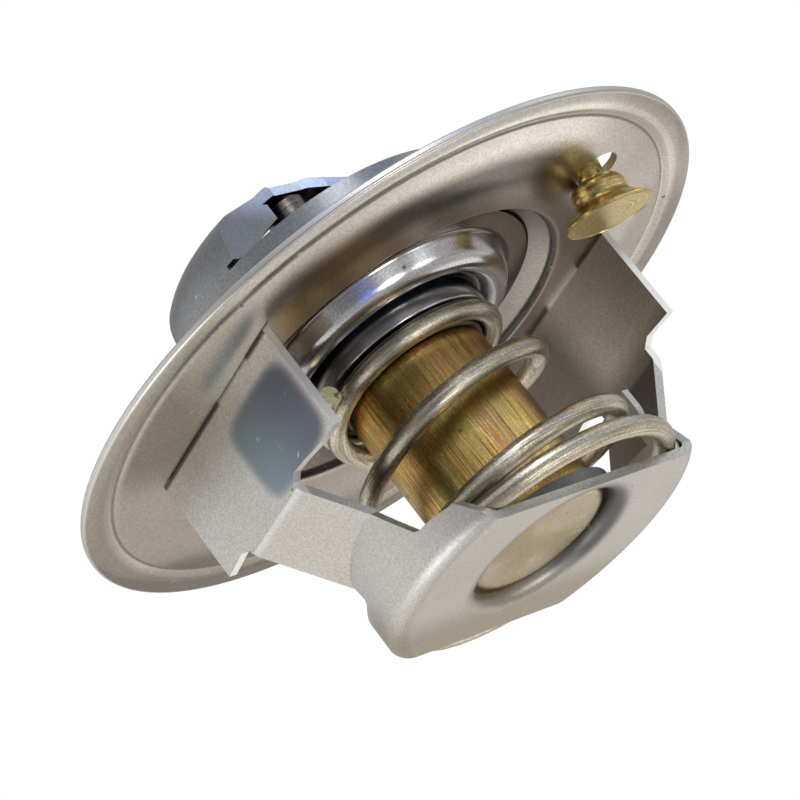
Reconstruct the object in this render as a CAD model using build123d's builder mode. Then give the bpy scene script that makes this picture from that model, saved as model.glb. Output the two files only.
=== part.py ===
from build123d import *
import os
from math import cos, radians, sin, sqrt

os.makedirs("parts", exist_ok=True)

# Millimetres. Z is the valve axis. Heights are counted from the lower sealing face of the flange,
# which lies FLANGE_Z above the underside of the base plate, where the part stands.
FLANGE_Z = 19.4
FLANGE_R = 27.0
FLANGE_T = 0.6
RIM_Z = -0.25
RING_R = 25.4
STEP_R = 24.3
STEP_Z = 0.12
FACE_Z = -0.06
SEAT_R = 13.4
MOUTH_R = 14.65
MOUTH_Z = 0.5
HAT_IN_R = 12.8
HAT_OUT_R = 13.6
SHEET_T = 0.8
SILL_Z = 7.6
DOME_TOP_Z = 15.6
BRIDGE_HALF_TOP = 1.5
BRIDGE_HALF_MID = 2.2
BRIDGE_HALF_FOOT = 4.9
BRIDGE_MID_X = 3.2
BRIDGE_FOOT_X = 12.6
BRIDGE_FLARE = (BRIDGE_HALF_FOOT - BRIDGE_HALF_MID) / (BRIDGE_FOOT_X - BRIDGE_MID_X)
LIP_X0 = 3.6
LIP_X1 = 12.55
JIGGLE_HOLE_X = 10.55
JIGGLE_HOLE_Y = -17.0
JIGGLE_HOLE_R = 1.8

ARM_X = 17.6
STIRRUP_T = 0.7
SEAT_WALL_R = 13.35
BASE_Z = -FLANGE_Z
BASE_NEAR_Y = -7.4
BASE_FAR_Y = 9.5
HOLE_R = 6.08
# Each arm: turn about Z, edges of its head, edges of its strip, height of the bend, slope of the shoulder
ARMS = [
    (0, -7.65, 9.67, -1.03, 6.37, -9.1, 0.85),
    (180, -8.65, 8.65, -2.55, 4.85, -10.0, 1.25),
]

CUP_R = 5.9
CUP_END_Z = -18.5
CUP_TOP_Z = -2.9
BORE_R = 1.8
PISTON_R = 1.75
VALVE_R = 13.2
VALVE_T = 0.75

WIRE_R = 0.8

LEVEL = Plane(origin=(0, 0, FLANGE_Z))
FRONT = Plane(origin=(0, 0, FLANGE_Z), x_dir=(1, 0, 0), z_dir=(0, -1, 0))
SIDE = Plane(origin=(0, 0, FLANGE_Z), x_dir=(0, 1, 0), z_dir=(1, 0, 0))

# Flange with drawn valve seat, hat and bridge, one stamping
with BuildPart() as flange_bridge:
    with BuildSketch(FRONT) as section:
        with BuildLine():
            Polyline(
                (FLANGE_R, RIM_Z),
                (RING_R, RIM_Z),
                (STEP_R + 0.2, STEP_Z),
                (STEP_R, FACE_Z),
                (MOUTH_R + 0.1, FACE_Z),
                (MOUTH_R, MOUTH_Z),
                (SEAT_R, 1.65),
                (SEAT_R, 2.3),
                (HAT_IN_R, 2.9),
                (HAT_IN_R, 10.65),
                (5.0, 13.57),
                (2.3, DOME_TOP_Z - SHEET_T),
                (0, DOME_TOP_Z - SHEET_T),
                (0, DOME_TOP_Z),
                (2.7, DOME_TOP_Z),
                (5.2, 14.35),
                (HAT_OUT_R, 11.2),
                (HAT_OUT_R, 3.15),
                (14.1, 2.6),
                (15.3, 1.2),
                (15.7, FACE_Z + FLANGE_T),
                (STEP_R, FACE_Z + FLANGE_T),
                (RING_R, RIM_Z + FLANGE_T),
                (FLANGE_R, RIM_Z + FLANGE_T),
                close=True,
            )
        make_face()
        fillet([v for v in section.vertices() if abs(v.X - MOUTH_R - 0.1) < 0.01 and v.Y < 0], 0.55)
        fillet([v for v in section.vertices() if abs(v.X - 15.7) < 0.01], 0.4)
        fillet([v for v in section.vertices() if abs(v.X - 15.3) < 0.01], 0.5)
        fillet([v for v in section.vertices() if abs(v.X - HAT_OUT_R) < 0.01 and v.Y > 10], 4.8)
        fillet([v for v in section.vertices() if abs(v.X - HAT_IN_R) < 0.01 and v.Y > 10], 4.0)
        fillet([v for v in section.vertices() if abs(v.X - 5.2) < 0.01 or abs(v.X - 5.0) < 0.01], 2.0)
        fillet([v for v in section.vertices() if abs(v.X - 2.7) < 0.01 or abs(v.X - 2.3) < 0.01], 1.2)
        fillet([v for v in section.vertices() if abs(v.X - FLANGE_R) < 0.01], 0.2)
        fillet([v for v in section.vertices() if abs(v.X - STEP_R) < 0.01 and v.Y < 0], 0.15)
        fillet([v for v in section.vertices() if abs(v.X - STEP_R - 0.2) < 0.01 and v.Y < 0.2], 0.3)
        fillet([v for v in section.vertices() if abs(v.X - RING_R) < 0.01], 1.5)
    revolve(axis=Axis.Z)
    with BuildSketch(LEVEL.offset(SILL_Z)):
        for side in (-1, 1):
            with BuildLine():
                Polyline(
                    (-BRIDGE_MID_X, side * BRIDGE_HALF_MID),
                    (-1.4, side * BRIDGE_HALF_TOP),
                    (1.4, side * BRIDGE_HALF_TOP),
                    (BRIDGE_MID_X, side * BRIDGE_HALF_MID),
                    (BRIDGE_FOOT_X, side * BRIDGE_HALF_FOOT),
                    (16, side * BRIDGE_HALF_FOOT),
                    (16, side * 16),
                    (-16, side * 16),
                    (-16, side * BRIDGE_HALF_FOOT),
                    (-BRIDGE_FOOT_X, side * BRIDGE_HALF_FOOT),
                    close=True,
                )
            make_face()
    extrude(amount=12, mode=Mode.SUBTRACT)
    relief_y = BRIDGE_HALF_FOOT - 0.3
    corners = [(x, y, FLANGE_Z + SILL_Z + 0.2) for x in (-12.9, 12.9) for y in (-relief_y, relief_y)]
    with Locations(*corners):
        Box(3, 0.9, 0.4, mode=Mode.SUBTRACT)
    with Locations((JIGGLE_HOLE_X, JIGGLE_HOLE_Y, FLANGE_Z + 0.5)):
        Cylinder(JIGGLE_HOLE_R, 4, mode=Mode.SUBTRACT)

# Folded lips that stiffen the four window edges of the bridge
with BuildPart() as lips:
    with BuildSketch(LEVEL.offset(SILL_Z)):
        for side in (-1, 1):
            for end in (-1, 1):
                with BuildLine():
                    Polyline(
                        (end * LIP_X0, side * (BRIDGE_HALF_MID + (LIP_X0 - BRIDGE_MID_X) * BRIDGE_FLARE)),
                        (end * LIP_X1, side * (BRIDGE_HALF_MID + (LIP_X1 - BRIDGE_MID_X) * BRIDGE_FLARE)),
                        (end * (LIP_X1 - 0.2), side * (BRIDGE_HALF_FOOT - 0.88)),
                        (end * LIP_X0, side * (BRIDGE_HALF_MID - 0.7)),
                        close=True,
                    )
                make_face()
    extrude(amount=6)
    with BuildSketch(FRONT) as under:
        for end in (-1, 1):
            with BuildLine():
                Polyline(
                    (end * 2.5, 6),
                    (end * 2.5, 12.2),
                    (end * 3.7, 12.2),
                    (end * 11.6, 8.1),
                    (end * 14, 8.1),
                    (end * 14, 6),
                    close=True,
                )
            make_face()
    extrude(amount=12, both=True, mode=Mode.SUBTRACT)
    with BuildSketch(FRONT) as over:
        for end in (-1, 1):
            with BuildLine():
                Polyline(
                    (end * 2.5, 18),
                    (end * 2.5, 14.2),
                    (end * 5.0, 13.7),
                    (end * 9.5, 11.9),
                    (end * 11.3, 10.7),
                    (end * 12.2, 9.5),
                    (end * 12.6, 8.6),
                    (end * 14, 8.3),
                    (end * 14, 18),
                    close=True,
                )
            make_face()
    extrude(amount=12, both=True, mode=Mode.SUBTRACT)

with BuildPart() as flange_piece:
    add(flange_bridge.part)
    add(lips.part)
flange_piece.part.label = "flange_bridge"
export_step(flange_piece.part, "parts/flange_bridge.step")

# Spring seat of the lower frame: wall, base plate and drawn collar round the hole
with BuildPart() as seat_cup:
    with BuildSketch(FRONT) as section:
        with BuildLine():
            Polyline(
                (SEAT_WALL_R, -11.5),
                (SEAT_WALL_R, BASE_Z),
                (HOLE_R, BASE_Z),
                (HOLE_R, -17.4),
                (HOLE_R + 0.6, -17.4),
                (HOLE_R + 0.6, BASE_Z + STIRRUP_T),
                (SEAT_WALL_R - STIRRUP_T, BASE_Z + STIRRUP_T),
                (SEAT_WALL_R - STIRRUP_T, -11.5),
                close=True,
            )
        make_face()
        fillet([v for v in section.vertices() if abs(v.X - SEAT_WALL_R) < 0.01 and v.Y < -19], 1.2)
        fillet([v for v in section.vertices() if abs(v.X - HOLE_R) < 0.01 and v.Y < -19], 1.05)
        fillet([v for v in section.vertices() if abs(v.X - 12.65) < 0.01 and v.Y < -18], 0.5)
        fillet([v for v in section.vertices() if abs(v.X - HOLE_R - 0.6) < 0.01 and v.Y < -18], 0.4)
    revolve(axis=Axis.Z)
    with BuildSketch(SIDE):
        with BuildLine():
            Polyline(
                (-6.35, -11),
                (-6.35, -16.6),
                (BASE_NEAR_Y, -18.4),
                (BASE_NEAR_Y, -21),
                (-16, -21),
                (-16, -11),
                close=True,
            )
        make_face()
        with BuildLine():
            Polyline((BASE_FAR_Y, -11), (BASE_FAR_Y, -21), (16, -21), (16, -11), close=True)
        make_face()
    extrude(amount=20, both=True, mode=Mode.SUBTRACT)
    for turn, head_low, head_high, strip_low, strip_high, bend_z, slope in ARMS:
        with BuildSketch(SIDE.rotated((0, 0, turn)), mode=Mode.PRIVATE) as above:
            with BuildLine():
                Polyline(
                    (-14, -11),
                    (-14, -16.65),
                    (-6.4, -16.63),
                    (-5.3, -16.43),
                    (-4.0, -16.25),
                    (-3.4, -16.28),
                    (-2.95, -16.05),
                    (-2.75, -15.7),
                    (strip_low, -12.7),
                    (strip_low, -11),
                    close=True,
                )
            make_face()
            with BuildLine():
                Polyline(
                    (strip_high, -11),
                    (strip_high, -13.2),
                    (strip_high - 0.6, -15.55),
                    (strip_high - 0.2, -15.8),
                    (7.2, -15.9),
                    (14, -16.0),
                    (14, -11),
                    close=True,
                )
            make_face()
        extrude(above.sketch, amount=-20, mode=Mode.SUBTRACT)
        with BuildSketch(FRONT.rotated((0, 0, turn)), mode=Mode.PRIVATE) as inside:
            with BuildLine():
                Polyline(
                    (-ARM_X, bend_z + STIRRUP_T),
                    (-12.3, bend_z + STIRRUP_T - (ARM_X - 12.3) * slope),
                    (-12.3, -7.0),
                    (-ARM_X, -7.0),
                    close=True,
                )
            make_face()
        extrude(inside.sketch, amount=20, both=True, mode=Mode.SUBTRACT)

# The two arms: head plate under the flange, strip and slanted shoulder down to the seat wall
with BuildPart() as arms:
    for turn, head_low, head_high, strip_low, strip_high, bend_z, slope in ARMS:
        with BuildSketch(SIDE.rotated((0, 0, turn)).offset(-ARM_X), mode=Mode.PRIVATE) as head:
            with BuildLine():
                Polyline(
                    (head_low, FACE_Z),
                    (head_high, FACE_Z),
                    (head_high, -8.45),
                    (strip_high + 0.9, -8.25),
                    (strip_high, -8.7),
                    (strip_high, -9.0),
                    (strip_low, -9.0),
                    (strip_low, -8.6),
                    (strip_low - 0.7, -8.15),
                    (strip_low - 2.3, -8.3),
                    (strip_low - 4.4, -8.6),
                    (head_low, -8.7),
                    close=True,
                )
            make_face()
        extrude(head.sketch, amount=STIRRUP_T)
        with BuildSketch(FRONT.rotated((0, 0, turn)), mode=Mode.PRIVATE) as strip:
            drop = (ARM_X - 9.0) * slope
            with BuildLine():
                Polyline(
                    (-ARM_X, -7.0),
                    (-ARM_X, bend_z),
                    (-9.0, bend_z - drop),
                    (-9.0, bend_z - drop + STIRRUP_T * sqrt(1 + slope**2)),
                    (-ARM_X + STIRRUP_T, bend_z + STIRRUP_T * (sqrt(1 + slope**2) - slope)),
                    (-ARM_X + STIRRUP_T, -7.0),
                    close=True,
                )
            make_face()
            fillet([v for v in strip.vertices() if abs(v.X + ARM_X) < 0.01 and v.Y < -8], 1.2)
            fillet([v for v in strip.vertices() if abs(v.X + ARM_X - STIRRUP_T) < 0.01 and v.Y < -8], 0.5)
        band_y = (strip_low + strip_high) / 2 * (1 if turn == 0 else -1)
        with BuildPart(mode=Mode.PRIVATE) as band:
            extrude(strip.sketch, amount=20, both=True)
            with Locations((0, band_y, FLANGE_Z - 11)):
                Box(60, strip_high - strip_low, 20, mode=Mode.INTERSECT)
        add(band.part)
    with Locations((0, 0, FLANGE_Z - 14)):
        Cylinder(SEAT_WALL_R - STIRRUP_T, 14, mode=Mode.SUBTRACT)

with BuildPart() as lower_frame:
    add(seat_cup.part)
    add(arms.part)
lower_frame.part.label = "lower_frame"
export_step(lower_frame.part, "parts/lower_frame.step")

# Valve plate with its round bead, closing on the conical seat of the flange
with BuildPart() as valve_disc:
    with BuildSketch(FRONT) as section:
        with BuildLine():
            Polyline(
                (VALVE_R, 1.5),
                (12.05, 1.5),
                (12.05, -1.25),
                (9.25, -1.25),
                (9.25, 0.35),
                (8.35, 0.35),
                (8.35, -1.6),
                (4.25, -1.6),
                (4.25, -0.85),
                (7.6, -0.85),
                (7.6, 1.1),
                (10.0, 1.1),
                (10.0, -0.5),
                (11.3, -0.5),
                (11.3, 1.5 + VALVE_T),
                (12.9, 1.5 + VALVE_T),
                (VALVE_R, 2.0),
                close=True,
            )
        make_face()
        fillet([v for v in section.vertices() if abs(v.X - 12.05) < 0.01 and v.Y < 0], 1.7)
        fillet([v for v in section.vertices() if abs(v.X - 11.3) < 0.01 and v.Y < 0], 0.9)
        fillet([v for v in section.vertices() if abs(v.X - 9.25) < 0.01 and v.Y < 0], 0.9)
        fillet([v for v in section.vertices() if abs(v.X - 8.35) < 0.01 and v.Y < 0], 0.5)
    revolve(axis=Axis.Z)
valve_disc.part.label = "valve_disc"
export_step(valve_disc.part, "parts/valve_disc.step")

# Ring that clamps the valve plate on the element
with BuildPart() as retaining_ring:
    with BuildSketch(FRONT) as section:
        with BuildLine():
            Polyline((4.25, CUP_TOP_Z), (6.15, CUP_TOP_Z), (6.15, -1.62), (4.25, -1.62), close=True)
        make_face()
        fillet([v for v in section.vertices() if v.X > 6], 0.3)
    revolve(axis=Axis.Z)
retaining_ring.part.label = "retaining_ring"
export_step(retaining_ring.part, "parts/retaining_ring.step")

# Wax cup, deep drawn and crimped over the guide
with BuildPart() as wax_cup:
    with BuildSketch(FRONT) as section:
        with BuildLine():
            Polyline(
                (0, CUP_END_Z),
                (CUP_R, CUP_END_Z),
                (CUP_R, CUP_TOP_Z - 0.02),
                (4.7, CUP_TOP_Z - 0.02),
                (4.7, CUP_TOP_Z - 0.62),
                (5.3, CUP_TOP_Z - 0.62),
                (5.3, CUP_END_Z + 0.8),
                (0, CUP_END_Z + 0.8),
                close=True,
            )
        make_face()
        fillet([v for v in section.vertices() if v.X > 5.8 and v.Y < -18], 0.9)
        fillet([v for v in section.vertices() if v.X > 5.8 and v.Y > -4], 0.35)
        fillet([v for v in section.vertices() if abs(v.X - 5.3) < 0.01 and v.Y < -17], 0.4)
    revolve(axis=Axis.Z)
wax_cup.part.label = "wax_cup"
export_step(wax_cup.part, "parts/wax_cup.step")

# Guide, turned, with its flange held by the crimped cup
with BuildPart() as element_guide:
    with BuildSketch(FRONT) as section:
        with BuildLine():
            Polyline(
                (BORE_R, -5.2),
                (5.25, -5.2),
                (5.25, CUP_TOP_Z - 0.64),
                (4.2, CUP_TOP_Z - 0.64),
                (4.2, -0.2),
                (3.3, 0.6),
                (3.3, 9.6),
                (2.9, 10.2),
                (BORE_R, 10.2),
                close=True,
            )
        make_face()
    revolve(axis=Axis.Z)
element_guide.part.label = "element_guide"
export_step(element_guide.part, "parts/element_guide.step")

# Piston, which stands still under the bridge while the element moves down
with BuildPart() as piston:
    with BuildSketch(FRONT) as section:
        with BuildLine():
            Polyline(
                (0, -1.9),
                (PISTON_R, -1.9),
                (PISTON_R, 14.3),
                (PISTON_R - 0.45, DOME_TOP_Z - SHEET_T),
                (0, DOME_TOP_Z - SHEET_T),
                close=True,
            )
        make_face()
    revolve(axis=Axis.Z)
piston.part.label = "piston"
export_step(piston.part, "parts/piston.step")

with BuildPart() as anti_extrusion_disc:
    with Locations((0, 0, FLANGE_Z - 2.2)):
        Cylinder(PISTON_R, 0.6)
anti_extrusion_disc.part.label = "anti_extrusion_disc"
export_step(anti_extrusion_disc.part, "parts/anti_extrusion_disc.step")

with BuildPart() as rubber_plug:
    with Locations((0, 0, FLANGE_Z - 3.84)):
        Cylinder(PISTON_R, 2.68)
rubber_plug.part.label = "rubber_plug"
export_step(rubber_plug.part, "parts/rubber_plug.step")

with BuildPart() as diaphragm:
    with Locations((0, 0, FLANGE_Z - 5.6)):
        Cylinder(5.28, 0.78)
diaphragm.part.label = "diaphragm"
export_step(diaphragm.part, "parts/diaphragm.step")

with BuildPart() as wax_charge:
    with BuildSketch(FRONT) as section:
        with BuildLine():
            Polyline((0, -17.68), (5.28, -17.68), (5.28, -6.0), (0, -6.0), close=True)
        make_face()
        fillet([v for v in section.vertices() if v.X > 5 and v.Y < -17], 0.42)
    revolve(axis=Axis.Z)
wax_charge.part.label = "wax_charge"
export_step(wax_charge.part, "parts/wax_charge.step")

# Conical main spring, closed end coils
SPRING_ANGLE = [64, 200, 360, 424, 540, 630, 720, 810, 900, 990, 1080, 1170, 1260, 1350, 1440, 1695]
SPRING_Z = [-2.42, -2.42, -2.5, -2.95, -5.0, -7.0, -8.6, -10.4, -12.3, -14.2, -15.9, -17.0, -17.6,
            -17.85, -17.88, -17.88]
SPRING_R = [7.6, 7.15, 7.1, 7.2, 7.75, 8.3, 8.9, 9.35, 9.75, 10.15, 10.5, 10.85, 11.2, 11.55, 11.75, 11.8]


def ramp(value, grid, table):
    place = 0
    while place < len(grid) - 2 and value > grid[place + 1]:
        place += 1
    share = (value - grid[place]) / (grid[place + 1] - grid[place])
    return table[place] + share * (table[place + 1] - table[place])


spring_points = []
for index in range(56):
    turn = 64 + index * (1695 - 64) / 55
    theta = radians(222.3 - turn)
    radius = ramp(turn, SPRING_ANGLE, SPRING_R)
    height = FLANGE_Z + ramp(turn, SPRING_ANGLE, SPRING_Z)
    spring_points.append((radius * cos(theta), radius * sin(theta), height))

with BuildPart() as main_spring:
    with BuildLine() as path:
        Spline(*spring_points)
    with BuildSketch(Plane(origin=path.line @ 0, z_dir=path.line % 0)):
        RegularPolygon(WIRE_R, 8)
    sweep(is_frenet=True)
main_spring.part.label = "main_spring"
export_step(main_spring.part, "parts/main_spring.step")

# Jiggle pin, one brass turning with its upper end headed over, hanging tilted in its hole
PIN_TILT_X = -0.0313
PIN_TILT_Y = 0.2362
PIN_X = 10.25
PIN_Y = -16.45
pin_axis = Vector(-PIN_TILT_X, -PIN_TILT_Y, 0.9712)
pin_foot = Vector(PIN_X + 3.48 * PIN_TILT_X, PIN_Y + 3.48 * PIN_TILT_Y, FLANGE_Z - 3.28)
with BuildPart() as jiggle_pin:
    with BuildSketch(Plane.XZ) as section:
        with BuildLine():
            Polyline(
                (0, 0),
                (3.47, 0),
                (3.47, 0.4),
                (2.6, 0.85),
                (2.05, 1.45),
                (2.1, 2.1),
                (1.9, 2.55),
                (1.45, 2.75),
                (1.05, 2.85),
                (1.05, 6.2),
                (2.45, 6.2),
                (2.45, 6.6),
                (1.7, 7.1),
                (0, 7.1),
                close=True,
            )
        make_face()
    revolve(axis=Axis.Z)
jiggle_piece = Plane(origin=pin_foot, z_dir=pin_axis) * jiggle_pin.part
jiggle_piece.label = "jiggle_pin"
export_step(jiggle_piece, "parts/jiggle_pin.step")
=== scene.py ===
from math import cos, radians, sin

import bpy
from bpy.props import FloatProperty, FloatVectorProperty, PointerProperty
from bpy.types import Operator, Panel, PropertyGroup
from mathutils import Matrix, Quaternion, Vector


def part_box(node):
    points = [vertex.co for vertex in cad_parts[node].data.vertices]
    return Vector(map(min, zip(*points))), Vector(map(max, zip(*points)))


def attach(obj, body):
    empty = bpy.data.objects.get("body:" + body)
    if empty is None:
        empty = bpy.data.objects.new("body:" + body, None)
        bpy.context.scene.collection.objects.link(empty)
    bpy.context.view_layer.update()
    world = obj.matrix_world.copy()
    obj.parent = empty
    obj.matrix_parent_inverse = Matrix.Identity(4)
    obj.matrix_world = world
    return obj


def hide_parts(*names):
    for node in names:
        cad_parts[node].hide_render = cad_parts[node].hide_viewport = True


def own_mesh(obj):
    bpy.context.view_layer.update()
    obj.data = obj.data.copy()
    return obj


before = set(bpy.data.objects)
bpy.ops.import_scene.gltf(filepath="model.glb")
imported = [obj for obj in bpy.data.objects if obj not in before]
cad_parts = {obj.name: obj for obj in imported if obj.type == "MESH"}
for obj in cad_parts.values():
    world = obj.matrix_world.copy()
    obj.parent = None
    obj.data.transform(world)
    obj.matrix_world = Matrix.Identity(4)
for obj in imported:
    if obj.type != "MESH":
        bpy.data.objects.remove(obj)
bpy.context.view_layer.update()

bl_info = {
    "name": "Wax valve finish",
    "version": (1, 0, 0),
    "blender": (4, 5, 0),
    "location": "3D View > Sidebar > Wax valve",
    "description": "Dresses the packed parts of an engine cooling valve and sets its studio",
    "category": "Object",
}

MM = 0.001
MM_PER_METRE = 1000.0
FLANGE_MM = 19.4
FLANGE_Z = FLANGE_MM * MM

# Heights of the coil's centre line below the flange and its radii, in millimetres, by turn in degrees,
# then the angle where it starts, the step along it and the stretch that rounds its bends
COIL_TURN = [39, 64, 200, 360, 424, 540, 630, 720, 810, 900, 990, 1080, 1170, 1260, 1350, 1440, 1695]
COIL_Z = [-2.42, -2.42, -2.42, -2.5, -2.95, -5.0, -7.0, -8.6, -10.4, -12.3, -14.2, -15.9, -17.0, -17.6,
          -17.85, -17.88, -17.88]
COIL_R = [9.2, 7.6, 7.15, 7.1, 7.2, 7.75, 8.3, 8.9, 9.35, 9.75, 10.15, 10.5, 10.85, 11.2,
          11.55, 11.75, 11.8]
COIL_START = 222.3
COIL_STEP = 9
COIL_EASE = (-30, -15, 0, 15, 30)

# The wire's section, and the corners of each face that closes an end of it
COIL_BEVEL = 7
CAP_CORNERS = 3

# Corners of the valve plate's section, each with its radius, height above the flange and rounding, in
# millimetres: along the underside from the rim to the hub, then back along the upper side
PLATE_CORNERS = [
    (13.2, 1.5, 0.1), (11.3, 1.5, 0.3), (10.95, 0.9, 0.6), (10.4, 0.0, 0.7), (9.5, -0.45, 0.6),
    (8.7, -0.35, 0.4), (8.15, 0.6, 0.3), (7.75, 0.6, 0.15), (7.6, -1.6, 0.15), (4.25, -1.6, 0.0),
    (4.25, -0.85, 0.0), (7.0, -0.85, 0.2), (7.1, 1.25, 0.3), (8.5, 1.25, 0.3), (8.9, 0.4, 0.3),
    (9.5, 0.3, 0.3), (10.0, 0.8, 0.4), (10.3, 2.25, 0.6), (12.9, 2.25, 0.2), (13.2, 2.0, 0.1),
]

# Corners of the jiggle pin's section from the rim of its lower face up to its headed end, in
# millimetres along its own axis, each with its rounding; where that axis starts and points; and the
# upright axis that its lathe rings follow
PIN_CORNERS = [
    (3.45, 0.0, 0.15), (3.45, 0.4, 0.15), (2.6, 0.85, 0.4), (2.12, 1.4, 0.4), (2.16, 2.0, 0.3),
    (2.03, 2.55, 0.3), (1.6, 2.93, 0.1), (1.05, 3.05, 0.05), (1.05, 6.47, 0.05), (2.4, 6.47, 0.05),
    (2.4, 6.8, 0.1), (1.7, 7.05, 0.1),
]
PIN_FOOT = (10.141, -15.628, 16.12)
PIN_AXIS = (0.0313, -0.2362, 0.9712)
PIN_CENTRE = (10.09, -15.22)

# Sides of a turned piece, the angles below which edges look smooth, the distance at which points merge
# and the most that a rounding takes of the edge beside it
LATHE_SIDES = 144
TURNED_ANGLE = radians(30)
COIL_ANGLE = radians(40)
MERGE_DISTANCE = 0.001 * MM
ROUNDING_SHARE = 0.45

# Bands that follow the radius, in millimetres, where shade and reflections are painted: where each
# begins, is full, fades and ends
DARK_REFLECTION_BAND = (16.5, 18.5, 20.0, 21.6)
RING_STEP_SHADE = (24.27, 24.4, 24.5, 24.62)
SEAT_MOUTH_SHADE = (14.5, 14.62, 14.8, 14.95)
PLATE_GROOVE_SHADE = (7.6, 7.7, 8.5, 9.0)

# Bows of the flange's underside, each from one radius to the next in millimetres, and how hard it bends
FLANGE_BOWS = ((18.0, 24.3, -0.034), (24.8, 27.0, -0.22))

# Where a head plate meets the flange, with painted crevice shade; the stretch above the plate, with burrs
# partly painted as glints; and the painted reflection spot, in millimetres
JOINT_X = 17.85
JOINT_HALF = 0.16
HEAD_GAP = (-4.9, -4.5, -0.2, 0.3)
SPOT_Y = -2.9
SPOT_HALF_Y = 4.3
SPOT_HEIGHT = FLANGE_MM - 5.2
SPOT_HALF_HEIGHT = 3.4
SPOT_POWER = 5.0

# The cup's radius in millimetres, and its brown bands by start and stop in radians and by weight
CUP_RADIUS = 5.9
CUP_BANDS = ((-1.4, -0.5, 0.7), (-2.15, -1.85, 0.5))

# Tones of the finishes and of the painted shade, highlights and reflections, without their alpha
TONES = {
    "seat_taupe": (0.44, 0.395, 0.36), "painted_shade": (0.22, 0.185, 0.15), "dark_reflection_sheet": (0.20, 0.185, 0.172),
    "bright_reflection_sheet": (0.88, 0.85, 0.81), "hat_reflection_dark": (0.20, 0.213, 0.222),
    "hat_reflection_light": (0.33, 0.345, 0.36), "dome_reflection_blue": (0.62, 0.71, 0.90),
    "hat_inside_shade": (0.10, 0.092, 0.085), "ring_brown": (0.27, 0.235, 0.20),
    "rim_edge": (0.74, 0.73, 0.71), "ring_step_shade": (0.10, 0.09, 0.08),
    "seat_mouth_shade": (0.03, 0.027, 0.025), "joint_shade": (0.04, 0.035, 0.03),
    "sheet_scratch": (0.80, 0.77, 0.73), "frame_dark": (0.52, 0.50, 0.47),
    "frame_light": (0.66, 0.645, 0.62), "inner_shade_dark": (0.17, 0.15, 0.135),
    "inner_shade_light": (0.31, 0.28, 0.245), "inner_upper_light": (0.60, 0.54, 0.47),
    "base_edge": (0.39, 0.34, 0.26), "reflection_blue": (0.15, 0.165, 0.21),
    "reflection_grey": (0.23, 0.29, 0.32), "collar_dark_reflection": (0.13, 0.125, 0.125), "sheared": (0.97, 0.97, 0.94),
    "burr": (0.95, 0.93, 0.93), "crevice": (0.05, 0.045, 0.04), "frame_scratch": (0.84, 0.82, 0.78),
    "plate_dark": (0.50, 0.50, 0.525), "plate_light": (0.80, 0.80, 0.83),
    "plate_recess_shade": (0.24, 0.215, 0.195), "plate_groove_shade": (0.07, 0.068, 0.066),
    "clamp_dark": (0.07, 0.065, 0.06), "clamp_light": (0.30, 0.28, 0.25),
    "cup_brown": (0.33, 0.17, 0.04), "cup_green": (0.40, 0.42, 0.14), "cup_rose": (0.66, 0.29, 0.15),
    "cup_band": (0.58, 0.28, 0.14), "end_olive": (0.36, 0.34, 0.165), "end_rose": (0.54, 0.35, 0.26),
    "end_pale": (0.52, 0.50, 0.36), "cup_scratch": (0.88, 0.80, 0.48),
    "wire_dark": (0.37, 0.325, 0.235), "wire_light": (0.82, 0.76, 0.60),
    "wire_rubbed": (0.92, 0.89, 0.78), "cut_dark": (0.30, 0.27, 0.10), "cut_light": (1.0, 0.93, 0.55),
    "guide_dark": (0.48, 0.36, 0.14), "guide_light": (0.72, 0.57, 0.26),
    "piston_dark": (0.09, 0.08, 0.07), "piston_light": (0.20, 0.18, 0.16),
    "pin_dark": (0.52, 0.35, 0.09), "pin_light": (1.0, 0.84, 0.36), "surround": (0.55, 0.53, 0.51),
    "floor": (0.97, 0.94, 0.90), "rubber": (0.05, 0.05, 0.05), "plastic": (0.85, 0.85, 0.82),
    "wax": (0.55, 0.33, 0.18), "white": (1.0, 1.0, 1.0),
}

# Soft lobes of the surround: where each points, the cosines between which it grows, and its tone
LOBES = (
    ((0.21, -0.64, 0.74), 0.2, 0.9, (0.70, 0.78, 0.95)),
    ((0.6, 0.6, -0.5), 0.3, 0.95, (0.80, 0.76, 0.71)),
    ((-0.6, 0.65, 0.0), 0.4, 0.97, (1.15, 1.15, 1.15)),
    ((-0.5, 0.6, -0.62), 0.6, 0.97, (1.2, 1.17, 1.1)),
    ((-0.69, -0.63, -0.36), 0.84, 0.97, (0.22, 0.21, 0.22)),
    ((0.69, -0.63, 0.36), 0.95, 0.995, (1.35, 1.33, 1.25)),
    ((-0.36, -0.55, -0.75), 0.985, 0.996, (0.35, 0.5, 1.6)),
    ((0.31, -0.72, -0.63), 0.985, 0.996, (3.2, 3.2, 3.3)),
)

# Soft lamps: name, place and width of the disc in metres, share of the key power, and tone
LAMPS = (
    ("key", (-0.10, -0.42, 0.30), 0.22, 0.7, (1.0, 0.98, 0.96)),
    ("front", (-0.04, -0.24, -0.25), 0.10, 0.28, (1.0, 0.99, 0.96)),
    ("fill", (-0.35, 0.10, -0.20), 0.30, 0.5, (0.92, 0.95, 1.0)),
    ("rim", (0.30, 0.15, -0.28), 0.35, 0.2, (1.0, 0.97, 0.93)),
)
LAMP_AIM = Vector((0, 0, 0.015))
FLOOR_DROP = 0.02 * MM

# Camera of the photograph: place in metres, turn, tilt and roll in degrees, lens and sensor in
# millimetres, and the nearest distance it shows, in metres
CAMERA_PLACE = Vector((-172.06, -156.45, -72.35)) * MM
CAMERA_AZIMUTH = -47.27
CAMERA_ELEVATION = -20.81
CAMERA_ROLL = -37.82
CAMERA_LENS = 153.2
CAMERA_SENSOR = 36.0
CAMERA_NEAR = 0.01


def opaque(tone):
    return (*tone, 1.0)


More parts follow.
